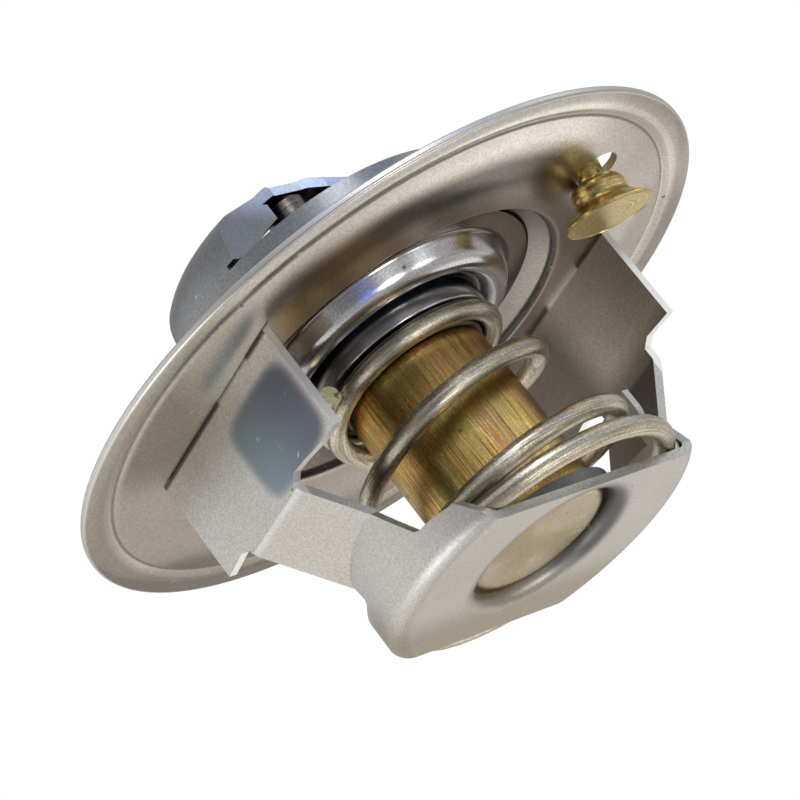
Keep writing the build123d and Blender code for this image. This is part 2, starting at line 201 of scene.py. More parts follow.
def colour(name):
    return opaque(TONES[name])


def deselect():
    if bpy.context.object and bpy.context.object.mode != "OBJECT":
        bpy.ops.object.mode_set(mode="OBJECT")
    bpy.ops.object.select_all(action="DESELECT")


def close_seams():
    """Merges doubled points of the mesh in edit mode, turns its faces outward and leaves the mode."""
    bpy.ops.mesh.select_all(action="SELECT")
    bpy.ops.mesh.remove_doubles(threshold=MERGE_DISTANCE)
    bpy.ops.mesh.normals_make_consistent(inside=False)
    bpy.ops.object.mode_set(mode="OBJECT")


class NodeDesk:
    """Places nodes in one tree and links them."""

    def __init__(self, tree):
        self.tree = tree
        self.count = 0

    def add(self, kind, **settings):
        node = self.tree.nodes.new(kind)
        node.location = (200 * (self.count % 9), -260 * (self.count // 9))
        self.count += 1
        for key, value in settings.items():
            setattr(node, key, value)
        return node

    def link(self, source, target):
        self.tree.links.new(source, target)

    def put(self, node, **values):
        for key, value in values.items():
            socket = node.inputs[key.replace("_", " ")]
            if isinstance(value, bpy.types.NodeSocket):
                self.link(value, socket)
            else:
                socket.default_value = value
        return node

    def math(self, operation, a, b=0.0):
        node = self.add("ShaderNodeMath", operation=operation)
        for index, value in enumerate((a, b)):
            if isinstance(value, bpy.types.NodeSocket):
                self.link(value, node.inputs[index])
            else:
                node.inputs[index].default_value = value
        return node.outputs[0]

    def times(self, a, b):
        return self.math("MULTIPLY", a, b)

    def plus(self, a, b):
        return self.math("ADD", a, b)

    def minus(self, a, b):
        return self.math("SUBTRACT", a, b)

    def larger(self, a, b):
        return self.math("MAXIMUM", a, b)

    def absolute(self, value):
        return self.math("ABSOLUTE", value)

    def step(self, value, low, high, to_low=0.0, to_high=1.0):
        """A soft step from to_low at low to to_high at high; it falls where low is the larger."""
        node = self.add("ShaderNodeMapRange", clamp=True, interpolation_type="SMOOTHSTEP")
        self.put(node, Value=value, From_Min=low, From_Max=high, To_Min=to_low, To_Max=to_high)
        return node.outputs["Result"]

    def band(self, value, start, full, fade, end):
        """One between full and fade, and nothing before start and after end."""
        return self.times(self.step(value, start, full), self.step(value, end, fade))

    def noise(self, vector, scale, detail=2.0, rough=0.5, dimensions="3D"):
        node = self.add("ShaderNodeTexNoise", noise_dimensions=dimensions)
        if dimensions == "1D":
            self.link(vector, node.inputs["W"])
        else:
            self.link(vector, node.inputs["Vector"])
        self.put(node, Scale=scale, Detail=detail, Roughness=rough)
        return node.outputs["Fac"]

    def mix(self, factor, a, b, blend="MIX"):
        node = self.add("ShaderNodeMix", data_type="RGBA", blend_type=blend)
        for name, value in (("Factor_Float", factor), ("A_Color", a), ("B_Color", b)):
            socket = next(s for s in node.inputs if s.identifier == name)
            if isinstance(value, bpy.types.NodeSocket):
                self.link(value, socket)
            else:
                socket.default_value = value
        return next(s for s in node.outputs if s.identifier == "Result_Color")

    def facing(self):
        """The parts of the true normal along X, Y and Z."""
        face = self.add("ShaderNodeSeparateXYZ")
        self.link(self.add("ShaderNodeNewGeometry").outputs["True Normal"], face.inputs[0])
        return face.outputs


def new_group(name, inputs, outputs):
    """An empty node group with its sockets, its desk and its two end nodes."""
    group = bpy.data.node_groups.new(name, "ShaderNodeTree")
    for label, kind, default in inputs:
        socket = group.interface.new_socket(name=label, in_out="INPUT", socket_type=kind)
        socket.default_value = default
    for label, kind in outputs:
        group.interface.new_socket(name=label, in_out="OUTPUT", socket_type=kind)
    desk = NodeDesk(group)
    entry = desk.add("NodeGroupInput")
    leave = desk.add("NodeGroupOutput")
    return group, desk, entry, leave


def grain_group():
    """Fine satin grain of rolled sheet, slow cloudy patches and a few small pits."""
    group, desk, entry, leave = new_group(
        "satin_grain",
        [("Size", "NodeSocketFloat", 1.0)],
        [("Patch", "NodeSocketFloat"), ("Speck", "NodeSocketFloat"), ("Pit", "NodeSocketFloat"),
         ("Height", "NodeSocketFloat")],
    )
    place = desk.add("ShaderNodeTexCoord").outputs["Object"]
    scaled = desk.add("ShaderNodeVectorMath", operation="SCALE")
    desk.link(place, scaled.inputs[0])
    desk.link(entry.outputs["Size"], scaled.inputs["Scale"])
    spot = scaled.outputs[0]
    patch = desk.noise(spot, 150, 3.0, 0.5)
    speck = desk.noise(spot, 5200, 2.0, 0.8)
    fine = desk.noise(spot, 11000, 1.0, 0.5)
    cells = desk.add("ShaderNodeTexVoronoi", feature="F1")
    desk.put(cells, Vector=spot, Scale=330.0, Randomness=1.0)
    near = desk.step(cells.outputs["Distance"], 0.085, 0.05)
    few = desk.step(desk.noise(spot, 420, 1.0, 0.5), 0.55, 0.62)
    desk.link(patch, leave.inputs["Patch"])
    desk.link(speck, leave.inputs["Speck"])
    desk.link(desk.times(near, few), leave.inputs["Pit"])
    desk.link(desk.plus(desk.times(speck, 0.5), desk.times(fine, 0.5)), leave.inputs["Height"])
    return group


def radius_group():
    """Place about an upright axis, in millimetres, and the turn about it, in radians."""
    group, desk, entry, leave = new_group(
        "axis_place",
        [("Centre X", "NodeSocketFloat", 0.0), ("Centre Y", "NodeSocketFloat", 0.0)],
        [("Radius", "NodeSocketFloat"), ("Height", "NodeSocketFloat"), ("X", "NodeSocketFloat"),
         ("Y", "NodeSocketFloat"), ("Turn", "NodeSocketFloat")],
    )
    place = desk.add("ShaderNodeTexCoord").outputs["Object"]
    split = desk.add("ShaderNodeSeparateXYZ")
    desk.link(place, split.inputs[0])
    x = desk.minus(desk.times(split.outputs["X"], MM_PER_METRE), entry.outputs["Centre X"])
    y = desk.minus(desk.times(split.outputs["Y"], MM_PER_METRE), entry.outputs["Centre Y"])
    z = desk.times(split.outputs["Z"], MM_PER_METRE)
    square = desk.plus(desk.times(x, x), desk.times(y, y))
    desk.link(desk.math("SQRT", square), leave.inputs["Radius"])
    desk.link(z, leave.inputs["Height"])
    desk.link(x, leave.inputs["X"])
    desk.link(y, leave.inputs["Y"])
    desk.link(desk.math("ARCTAN2", y, x), leave.inputs["Turn"])
    return group


def draw_group():
    """Lines left by drawing, narrow across them and long along them."""
    group, desk, entry, leave = new_group(
        "draw_lines",
        [("Across", "NodeSocketFloat", 0.0), ("Along", "NodeSocketFloat", 0.0),
         ("Pitch", "NodeSocketFloat", 9.0)],
        [("Line", "NodeSocketFloat"), ("Height", "NodeSocketFloat")],
    )
    spread = desk.add("ShaderNodeCombineXYZ")
    desk.link(desk.times(entry.outputs["Across"], entry.outputs["Pitch"]), spread.inputs["X"])
    desk.link(desk.times(entry.outputs["Along"], 0.09), spread.inputs["Y"])
    coarse = desk.noise(spread.outputs[0], 1.0, 3.0, 0.75)
    fine = desk.noise(spread.outputs[0], 4.3, 2.0, 0.6)
    desk.link(desk.plus(desk.times(coarse, 0.6), desk.times(fine, 0.4)), leave.inputs["Line"])
    desk.link(fine, leave.inputs["Height"])
    return group


def scratch_group():
    """Long thin scratches that run one way, bent a little by a slow noise."""
    group, desk, entry, leave = new_group(
        "long_scratches",
        [("Turn", "NodeSocketFloat", 0.0), ("Amount", "NodeSocketFloat", 0.5)],
        [("Mask", "NodeSocketFloat")],
    )
    place = desk.add("ShaderNodeTexCoord").outputs["Object"]
    turned = desk.add("ShaderNodeVectorRotate", rotation_type="AXIS_ANGLE")
    desk.link(place, turned.inputs["Vector"])
    turned.inputs["Axis"].default_value = (0.3, 0.2, 1.0)
    desk.link(entry.outputs["Turn"], turned.inputs["Angle"])
    stretch = desk.add("ShaderNodeMapping")
    desk.link(turned.outputs[0], stretch.inputs["Vector"])
    stretch.inputs["Scale"].default_value = (90.0, 2600.0, 2600.0)
    lines = desk.noise(stretch.outputs[0], 1.0, 2.0, 0.6)
    where = desk.noise(place, 260.0, 2.0, 0.6)
    sharp = desk.step(lines, 0.66, 0.74)
    held = desk.step(where, 0.5, 0.66)
    both = desk.times(sharp, held)
    desk.link(desk.times(both, entry.outputs["Amount"]), leave.inputs["Mask"])
    return group


def turned_group():
    """Rings left by the lathe, along a height or a radius."""
    group, desk, entry, leave = new_group(
        "lathe_rings",
        [("Along", "NodeSocketFloat", 0.0), ("Pitch", "NodeSocketFloat", 6.0)],
        [("Line", "NodeSocketFloat"), ("Height", "NodeSocketFloat")],
    )
    coarse = desk.noise(entry.outputs["Along"], 3.0, 3.0, 0.75, "1D")
    desk.link(entry.outputs["Pitch"], coarse.node.inputs["Scale"])
    fine = desk.noise(entry.outputs["Along"], 23.0, 2.0, 0.6, "1D")
    height = desk.plus(desk.times(coarse, 0.7), desk.times(fine, 0.3))
    desk.link(coarse, leave.inputs["Line"])
    desk.link(height, leave.inputs["Height"])
    return group


GROUPS = {}


def use(desk, name, **values):
    """A shared group as a node of this tree, and its outputs."""
    node = desk.add("ShaderNodeGroup")
    node.node_tree = GROUPS[name]
    desk.put(node, **values)
    return node.outputs


def cleared_desk(owner):
    """A desk for the emptied node tree of a material or a world."""
    owner.use_nodes = True
    owner.node_tree.nodes.clear()
    return NodeDesk(owner.node_tree)


def shaded(name, roughness=0.3, metallic=1.0):
    """A new material with its shader, and the desk for its other nodes."""
    material = bpy.data.materials.new(name)
    desk = cleared_desk(material)
    shader = desk.add("ShaderNodeBsdfPrincipled")
    output = desk.add("ShaderNodeOutputMaterial")
    desk.link(shader.outputs[0], output.inputs["Surface"])
    desk.put(shader, Metallic=metallic, Roughness=roughness)
    return material, desk, shader


def mixed_output(desk, kind, factor, first, second):
    """Mixes two shaders by the factor and links them to an output of this kind."""
    blend = desk.add("ShaderNodeMixShader")
    desk.link(factor, blend.inputs[0])
    desk.link(first.outputs[0], blend.inputs[1])
    desk.link(second.outputs[0], blend.inputs[2])
    output = desk.add(kind)
    desk.link(blend.outputs[0], output.inputs["Surface"])


def bump(desk, shader, height, strength, depth):
    """Shows the height as relief, one of it as the depth in millimetres."""
    node = desk.add("ShaderNodeBump")
    desk.put(node, Height=height, Strength=strength, Distance=depth * MM)
    desk.link(node.outputs[0], shader.inputs["Normal"])


def spread_grain(desk, tone, grain, low, high):
    """The tone with the speckle and the pits of the satin laid over it."""
    speck = desk.step(grain["Speck"], 0.36, 0.64, low, high)
    tone = desk.mix(1.0, tone, speck, "MULTIPLY")
    return desk.mix(desk.times(grain["Pit"], 0.75), tone, colour("crevice"))


def flange_metal(look):
    """Satin stainless sheet: taupe under the flange and browner towards the seat, with painted shade and
    reflections under it and on the hat.
    """
    material, desk, shader = shaded("flange_sheet")
    grain = use(desk, "satin_grain", Size=1.0)
    place = use(desk, "axis_place")
    scratch = use(desk, "long_scratches", Turn=0.7, Amount=0.8)
    face = desk.facing()
    outward = desk.plus(desk.times(face["X"], place["X"]), desk.times(face["Y"], place["Y"]))
    outward = desk.plus(outward, desk.times(face["Z"], 9.0))
    inside = desk.step(outward, -2.0, -5.0)
    tone = underside_tone(desk, look, grain, place, inside)
    tone = hat_tone(desk, tone, grain, place, inside)
    ring = desk.times(desk.step(place["Radius"], 24.6, 25.2), desk.step(place["Y"], -16.0, -8.0))
    tone = desk.mix(desk.times(desk.times(ring, inside), 0.55), tone, colour("ring_brown"))
    tone = spread_grain(desk, tone, grain, 0.84, 1.1)
    tone = flange_edges(desk, tone, place)
    tone = desk.mix(scratch["Mask"], tone, colour("sheet_scratch"))
    desk.put(shader, Base_Color=tone)
    desk.put(shader, Roughness=desk.step(grain["Patch"], 0.3, 0.7, 0.27, 0.36))
    relief = desk.times(grain["Height"], 0.0053)
    for start, stop, bend in FLANGE_BOWS:
        reach = desk.larger(desk.minus(place["Radius"], start), 0.0)
        reach = desk.math("MINIMUM", reach, stop - start)
        bow = desk.times(desk.times(reach, reach), desk.times(inside, bend))
        relief = desk.plus(relief, bow)
    bump(desk, shader, relief, 1.0, 1.0)
    return material


def underside_tone(desk, look, grain, place, inside):
    """The flange from below: painted shade on the left and far side, a painted dark reflection on an
    inner band of the near side and painted bright reflections on the near side and the right.
    """
    tone = desk.mix(grain["Patch"], opaque(look.sheet_dark), opaque(look.sheet_light))
    tone = desk.mix(desk.step(place["Radius"], 21.5, 15.5), tone, colour("seat_taupe"))
    # Painted shade on the underside's left side, by the left head plate, and along its far edge
    aside = desk.minus(place["X"], place["Y"])
    shaded_side = desk.times(desk.step(aside, -14.0, -22.0), desk.step(place["Y"], 12.0, 5.0, 0.1, 0.75))
    shaded_side = desk.times(shaded_side, desk.step(place["Radius"], 24.3, 23.6))
    shaded_side = desk.larger(shaded_side, desk.step(place["Y"], 19.5, 23.0, 0.0, 0.6))
    tone = desk.mix(desk.times(shaded_side, inside), tone, colour("painted_shade"))
    near = desk.times(desk.step(place["Y"], -8.0, -15.0), inside)
    # Painted dark reflection on a band of the near underside
    dark_reflection = desk.times(desk.band(place["Radius"], *DARK_REFLECTION_BAND), desk.step(place["X"], 10.0, 3.0))
    tone = desk.mix(desk.times(dark_reflection, near), tone, colour("dark_reflection_sheet"))
    # Painted bright reflection on the near underside towards the rim, and more faintly on the right
    bright = desk.times(near, desk.step(place["Radius"], 21.0, 22.6))
    bright = desk.times(bright, desk.step(place["X"], 4.0, 10.0, 0.85, 0.05))
    right = desk.times(desk.step(place["X"], 14.0, 20.0), desk.step(place["Radius"], 18.0, 21.0))
    bright = desk.larger(bright, desk.times(desk.times(right, inside), 0.6))
    return desk.mix(bright, tone, colour("bright_reflection_sheet"))


def hat_tone(desk, tone, grain, place, inside):
    """The tone with the hat and bridge laid over it: a painted cool reflection outside, a painted blue
    reflection on the dome and painted shade inside.
    """
    # Painted cool reflection on the hat, lighter and blue on the dome top
    hat = desk.mix(grain["Patch"], colour("hat_reflection_dark"), colour("hat_reflection_light"))
    dome = desk.step(place["Height"], FLANGE_MM + 11.5, FLANGE_MM + 15.0)
    hat = desk.mix(dome, hat, colour("dome_reflection_blue"))
    above = desk.step(place["Height"], FLANGE_MM + 0.6, FLANGE_MM + 2.4)
    tone = desk.mix(above, tone, hat)
    # Painted shade on the hat's inner faces above the flange
    high = desk.step(place["Height"], FLANGE_MM + 1.7, FLANGE_MM + 2.2)
    return desk.mix(desk.times(inside, high), tone, colour("hat_inside_shade"))


def flange_edges(desk, tone, place):
    """The tone with the bright rim laid over it, and painted shade in the ring's step, the seat mouth and
    the joints.
    """
    rim = desk.step(place["Radius"], 26.75, 26.98)
    tone = desk.mix(desk.times(rim, 0.6), tone, colour("rim_edge"))
    # Painted shade in the concave step of the underside's ring
    below = desk.step(place["Height"], FLANGE_MM + 0.3, FLANGE_MM + 0.2)
    groove = desk.times(desk.band(place["Radius"], *RING_STEP_SHADE), below)
    tone = desk.mix(desk.times(groove, 0.6), tone, colour("ring_step_shade"))
    # Painted shade where the seat's mouth bends in
    mouth = desk.band(place["Radius"], *SEAT_MOUTH_SHADE)
    tone = desk.mix(desk.times(mouth, 0.85), tone, colour("seat_mouth_shade"))
    # Painted crevice shade where the head plates meet the flange
    return desk.mix(desk.times(joint_shade_line(desk, place), 0.85), tone, colour("joint_shade"))


def joint_shade_line(desk, place):
    """A ragged narrow band of painted crevice shade on both sides of the valve, where a head plate meets
    the flange.
    """
    ragged = desk.noise(place["Y"], 1.3, 3.0, 0.8, "1D")
    shifted = desk.plus(desk.absolute(place["X"]), desk.times(ragged, 0.3))
    away = desk.absolute(desk.minus(shifted, JOINT_X))
    along = desk.step(desk.absolute(place["Y"]), 8.9, 8.3)
    below = desk.step(place["Height"], FLANGE_MM + 0.2, FLANGE_MM + 0.1)
    return desk.times(desk.times(desk.step(away, JOINT_HALF, JOINT_HALF * 0.5), along), below)


def frame_metal():
    """Satin stainless strip of the frame: pale outside, painted shade inside, bright at sheared edges
    partly as a painted highlight.
    """
    material, desk, shader = shaded("frame_sheet")
    grain = use(desk, "satin_grain", Size=1.1)
    place = use(desk, "axis_place")
    scratch = use(desk, "long_scratches", Turn=1.9, Amount=0.7)
    face = desk.facing()
    outward = desk.times(face["X"], place["X"])
    # Inner faces of the strip, where shade is painted
    inner_shade = desk.step(outward, -3.0, -8.0)
    tone = strip_tone(desk, grain, place, inner_shade)
    tone = spread_grain(desk, tone, grain, 0.86, 1.1)
    # Painted blue reflection spot on the outer face of the near head plate
    tint = desk.times(reflection_spot(desk, place), desk.step(outward, 8.0, 12.0))
    shade = desk.step(place["Y"], -6.5, 0.5)
    tone = desk.mix(tint, tone, desk.mix(shade, colour("reflection_blue"), colour("reflection_grey")))
    # Painted dark reflection on the collar round the base plate's hole, strongest on its near side
    collar_dark_reflection = desk.times(desk.step(place["Radius"], 7.7, 6.3), desk.step(place["Height"], 2.6, 2.4))
    collar_dark_reflection = desk.times(collar_dark_reflection, desk.step(place["Y"], 5.5, 2.0, 0.15, 0.98))
    tone = desk.mix(collar_dark_reflection, tone, colour("collar_dark_reflection"))
    # Sheared edges of the head plates: bright cut metal, with a painted highlight on top
    outside = desk.step(desk.absolute(place["X"]), 16.7, 16.8)
    sheared = desk.times(desk.step(desk.absolute(face["X"]), 0.5, 0.2), outside)
    tone = desk.mix(sheared, tone, colour("sheared"))
    # Ragged burrs at the plate's top edge on its inner face, their brightness partly a painted glint
    top = desk.step(place["Height"], FLANGE_MM - 0.45, FLANGE_MM - 0.2)
    ragged = desk.noise(place["Y"], 1.7, 4.0, 0.85, "1D")
    gap = desk.band(place["Y"], *HEAD_GAP)
    burr = desk.times(desk.times(top, gap), desk.step(ragged, 0.36, 0.44))
    tone = desk.mix(desk.times(burr, inner_shade), tone, colour("burr"))
    # Painted crevice shade along the top edge of each head plate, where it meets the flange
    crevice = desk.times(top, desk.minus(1.0, gap))
    crevice = desk.times(crevice, desk.step(desk.absolute(outward), 8.0, 12.0))
    tone = desk.mix(desk.times(crevice, 0.8), tone, colour("crevice"))
    tone = desk.mix(scratch["Mask"], tone, colour("frame_scratch"))
    desk.put(shader, Base_Color=tone)
    desk.put(shader, Roughness=desk.step(grain["Patch"], 0.3, 0.7, 0.37, 0.46))
    bump(desk, shader, grain["Height"], 0.35, 0.015)
    return material


def strip_tone(desk, grain, place, inner_shade):
    """The strip's own tone, with painted shade on its inner face, lighter high on the near side, and a
    warmer, darker tone at the base plate's far edge.
    """
    tone = desk.mix(grain["Patch"], colour("frame_dark"), colour("frame_light"))
    inner_tone = desk.mix(grain["Patch"], colour("inner_shade_dark"), colour("inner_shade_light"))
    # The painted shade of the inner face is lighter high up on its near side
    upper = desk.times(desk.step(place["Height"], FLANGE_MM - 9.5, FLANGE_MM - 7.0),
                       desk.step(place["Y"], 2.5, -1.5))
    inner_tone = desk.mix(upper, inner_tone, colour("inner_upper_light"))
    tone = desk.mix(inner_shade, tone, inner_tone)
    low = desk.times(desk.step(place["Y"], 3.0, 7.5), desk.step(place["Height"], 4.0, 2.0))
    return desk.mix(desk.times(low, 0.8), tone, colour("base_edge"))


def reflection_spot(desk, place):
    """A rounded spot of painted blue reflection on the near head plate."""
    aside = desk.math("DIVIDE", desk.minus(place["Y"], SPOT_Y), SPOT_HALF_Y)
    up = desk.math("DIVIDE", desk.minus(place["Height"], SPOT_HEIGHT), SPOT_HALF_HEIGHT)
    square = desk.plus(desk.math("POWER", desk.absolute(aside), SPOT_POWER),
                       desk.math("POWER", desk.absolute(up), SPOT_POWER))
    near = desk.step(place["X"], -17.2, -17.4)
    return desk.times(desk.step(square, 1.6, 0.4), near)


def valve_metal():
    """Bright drawn stainless of the valve plate, almost a mirror on its bead, with painted shade in its
    outer recess and its groove.
    """
    material, desk, shader = shaded("valve_plate")
    place = use(desk, "axis_place")
    grain = use(desk, "satin_grain", Size=1.4)
    rings = use(desk, "lathe_rings", Along=place["Radius"], Pitch=3.5)
    tone = desk.mix(rings["Line"], colour("plate_dark"), colour("plate_light"))
    # Painted shade on the plate's outer recess, up inside the seat
    groove = desk.step(place["Radius"], 11.05, 11.3)
    tone = desk.mix(groove, tone, colour("plate_recess_shade"))
    # Painted shade in the groove inside the bead, where the spring sits
    under = desk.band(place["Radius"], *PLATE_GROOVE_SHADE)
    tone = desk.mix(desk.times(under, 0.9), tone, colour("plate_groove_shade"))
    tone = spread_grain(desk, tone, grain, 0.8, 1.12)
    desk.put(shader, Base_Color=tone)
    desk.put(shader, Roughness=desk.step(grain["Patch"], 0.3, 0.7, 0.14, 0.22))
    height = desk.plus(desk.times(grain["Height"], 0.4), rings["Height"])
    bump(desk, shader, height, 0.12, 0.02)
    return material


def dark_metal():
    """Dark, rough steel of the clamping ring."""
    material, desk, shader = shaded("clamp_ring_steel")
    grain = use(desk, "satin_grain", Size=1.2)
    tone = desk.mix(grain["Speck"], colour("clamp_dark"), colour("clamp_light"))
    desk.put(shader, Base_Color=tone)
    desk.put(shader, Roughness=desk.step(grain["Speck"], 0.3, 0.7, 0.3, 0.5))
    bump(desk, shader, grain["Height"], 0.8, 0.04)
    return material


def gold_metal(look):
    """Drawn cup with a gold tint that drifts to green, rose and brown, and a paler end face."""
    material, desk, shader = shaded("cup_gold")
    place = use(desk, "axis_place")
    grain = use(desk, "satin_grain", Size=1.0)
    arc = desk.times(place["Turn"], CUP_RADIUS)
    lines = use(desk, "draw_lines", Across=arc, Along=place["Height"], Pitch=8.0)
    band = desk.noise(arc, 0.55, 2.0, 0.6, "1D")
    base = desk.mix(desk.step(lines["Line"], 0.38, 0.62), colour("cup_brown"), opaque(look.cup_gold))
    drift = desk.noise(desk.add("ShaderNodeTexCoord").outputs["Object"], 190, 2.0, 0.5)
    green = desk.times(desk.step(drift, 0.50, 0.64), 0.45)
    rose = desk.times(desk.step(band, 0.50, 0.62), desk.step(drift, 0.56, 0.40, 0.0, 0.75))
    tone = desk.mix(green, base, colour("cup_green"))
    tone = desk.mix(rose, tone, colour("cup_rose"))
    for start, stop, weight in CUP_BANDS:
        middle, half = (start + stop) / 2, (stop - start) / 2
        away = desk.absolute(desk.minus(place["Turn"], middle))
        brown = desk.step(away, half * 1.3, half * 0.4, 0.0, weight)
        tone = desk.mix(brown, tone, colour("cup_band"))
    end = desk.step(place["Height"], 1.35, 0.95)
    worn = desk.mix(desk.step(grain["Patch"], 0.35, 0.6), colour("end_olive"), colour("end_rose"))
    worn = desk.mix(desk.step(drift, 0.42, 0.6, 0.0, 0.7), worn, colour("end_pale"))
    tone = desk.mix(end, tone, worn)
    tone = spread_grain(desk, tone, grain, 0.85, 1.12)
    for turn in (0.3, 1.4):
        scratch = use(desk, "long_scratches", Turn=turn, Amount=0.9)
        tone = desk.mix(scratch["Mask"], tone, colour("cup_scratch"))
    desk.put(shader, Base_Color=tone)
    desk.put(shader, Roughness=desk.step(lines["Line"], 0.35, 0.65, 0.34, 0.2))
    wall = desk.times(lines["Height"], desk.minus(1.0, end))
    height = desk.plus(wall, desk.times(grain["Height"], 0.3))
    bump(desk, shader, height, 0.35, 0.03)
    return material


def turned_metal(name, along, tones, roughness):
    """Turned metal, with its rings where along places them."""
    material, desk, shader = shaded(name, roughness)
    grain = use(desk, "satin_grain", Size=1.2)
    rings = use(desk, "lathe_rings", Along=along(desk), Pitch=5.5)
    line = desk.step(rings["Line"], 0.3, 0.7)
    tone = desk.mix(line, colour(tones + "_dark"), colour(tones + "_light"))
    tone = spread_grain(desk, tone, grain, 0.75, 1.15)
    desk.put(shader, Base_Color=tone)
    height = desk.plus(rings["Height"], desk.times(grain["Height"], 0.5))
    bump(desk, shader, height, 0.3, 0.03)
    return material


def wire_metal():
    """Drawn spring wire, olive grey, with draw lines along it and bright rubbed spots."""
    material, desk, shader = shaded("spring_wire")
    place = use(desk, "axis_place")
    grain = use(desk, "satin_grain", Size=1.3)
    across = desk.plus(place["Radius"], place["Height"])
    lines = use(desk, "draw_lines", Across=across, Along=desk.times(place["Turn"], 6.0), Pitch=4.0)
    tone = desk.mix(desk.step(lines["Line"], 0.36, 0.64), colour("wire_dark"), colour("wire_light"))
    rub = desk.times(desk.step(grain["Patch"], 0.52, 0.66), 0.5)
    tone = desk.mix(rub, tone, colour("wire_rubbed"))
    tone = spread_grain(desk, tone, grain, 0.7, 1.18)
    desk.put(shader, Base_Color=tone)
    desk.put(shader, Roughness=desk.step(lines["Line"], 0.35, 0.65, 0.36, 0.22))
    height = desk.plus(lines["Height"], desk.times(grain["Height"], 0.5))
    bump(desk, shader, height, 0.5, 0.04)
    return material


def cut_wire():
    """Bright, slightly torn face where the wire was cut off."""
    material, desk, shader = shaded("cut_wire_end", 0.3, 0.25)
    grain = use(desk, "satin_grain", Size=0.22)
    tone = desk.mix(desk.step(grain["Speck"], 0.34, 0.44), colour("cut_dark"), colour("cut_light"))
    desk.put(shader, Base_Color=tone)
    bump(desk, shader, grain["Speck"], 0.6, 0.1)
    return material


def plain_material(name, tone, roughness):
    """Rubber, wax or plastic of the sealed inner pieces."""
    material, desk, shader = shaded(name, roughness, 0.0)
    grain = use(desk, "satin_grain", Size=0.8)
    dark = [0.75 * value for value in TONES[tone]]
    desk.put(shader, Base_Color=desk.mix(grain["Patch"], opaque(dark), colour(tone)))
    bump(desk, shader, grain["Height"], 0.2, 0.03)
    return material


def dress(node_name, material):
    """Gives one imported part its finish."""
    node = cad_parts[node_name]
    node.data.materials.clear()
    node.data.materials.append(material)


class ValveLook(PropertyGroup):
    sheet_light: FloatVectorProperty(
        name="Sheet, light", description="Lighter tone of the flange sheet", subtype="COLOR",
        default=(0.62, 0.575, 0.525), min=0.0, max=1.0)
    sheet_dark: FloatVectorProperty(
        name="Sheet, dark", description="Darker tone of the flange sheet", subtype="COLOR",
        default=(0.49, 0.445, 0.395), min=0.0, max=1.0)
    cup_gold: FloatVectorProperty(
        name="Cup", description="Colour of the wax cup", subtype="COLOR",
        default=(0.95, 0.70, 0.24), min=0.0, max=1.0)
    wire_radius: FloatProperty(
        name="Wire radius", description="Radius of the spring wire", unit="LENGTH", default=0.8 * MM)


class ValveStudio(PropertyGroup):
    world_level: FloatProperty(
        name="World level", description="Strength of the soft surround", default=0.8)
    key_power: FloatProperty(
        name="Key power", description="Watts that the soft lamps share out", default=0.7)
    floor_size: FloatProperty(
        name="Floor size", description="Side of the floor", unit="LENGTH", default=6.0)


class VALVE_OT_groups(Operator):
    """Makes the node groups that several finishes share"""

    bl_idname = "valve.groups"
    bl_label = "Shared finish groups"

    def execute(self, context):
        GROUPS["satin_grain"] = grain_group()
        GROUPS["axis_place"] = radius_group()
        GROUPS["long_scratches"] = scratch_group()
        GROUPS["lathe_rings"] = turned_group()
        GROUPS["draw_lines"] = draw_group()
        return {"FINISHED"}


class VALVE_OT_sheet_metal(Operator):
    """Finishes the flange, the lower frame and the clamp ring"""

    bl_idname = "valve.sheet_metal"
    bl_label = "Sheet metal"

    def execute(self, context):
        look = context.scene.valve_look
        dress("flange_bridge", flange_metal(look))
        dress("lower_frame", frame_metal())
        dress("retaining_ring", dark_metal())
        return {"FINISHED"}


class VALVE_OT_element(Operator):
    """Finishes the wax element: cup, guide, piston and what is sealed inside"""

    bl_idname = "valve.element"
    bl_label = "Wax element"

    def execute(self, context):
        look = context.scene.valve_look
        dress("wax_cup", gold_metal(look))

        def by_height(desk):
            return use(desk, "axis_place")["Height"]

        dress("element_guide", turned_metal("guide_brass", by_height, "guide", 0.3))
        # The piston's dark tones are painted shade, as it sits in shadow under the dome
        dress("piston", turned_metal("piston_steel", by_height, "piston", 0.3))
        rubber = plain_material("black_rubber", "rubber", 0.6)
        dress("rubber_plug", rubber)
        dress("diaphragm", rubber)
        dress("anti_extrusion_disc", plain_material("white_plastic", "plastic", 0.4))
        dress("wax_charge", plain_material("copper_wax", "wax", 0.5))
        return {"FINISHED"}


class VALVE_OT_jiggle_pin(Operator):
    """Turns the brass pin that hangs in the flange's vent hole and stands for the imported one"""

    bl_idname = "valve.jiggle_pin"
    bl_label = "Jiggle pin"

    def execute(self, context):
        def from_centre(desk):
            place = use(desk, "axis_place", Centre_X=PIN_CENTRE[0], Centre_Y=PIN_CENTRE[1])
            return desk.plus(place["Radius"], place["Height"])

        outline = rounded(PIN_CORNERS)
        pin = turn_on_lathe("jiggle_pin_turned", outline[1:], False)
        pin.location = Vector(PIN_FOOT) * MM
        pin.rotation_mode = "QUATERNION"
        pin.rotation_quaternion = Vector(PIN_AXIS).to_track_quat("Z", "Y")
        bpy.ops.object.transform_apply(location=True, rotation=True, scale=True)
        bpy.ops.object.shade_smooth_by_angle(angle=TURNED_ANGLE)
        pin.data.materials.append(turned_metal("pin_brass", from_centre, "pin", 0.22))
        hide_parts("jiggle_pin")
        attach(pin, "jiggle")
        return {"FINISHED"}


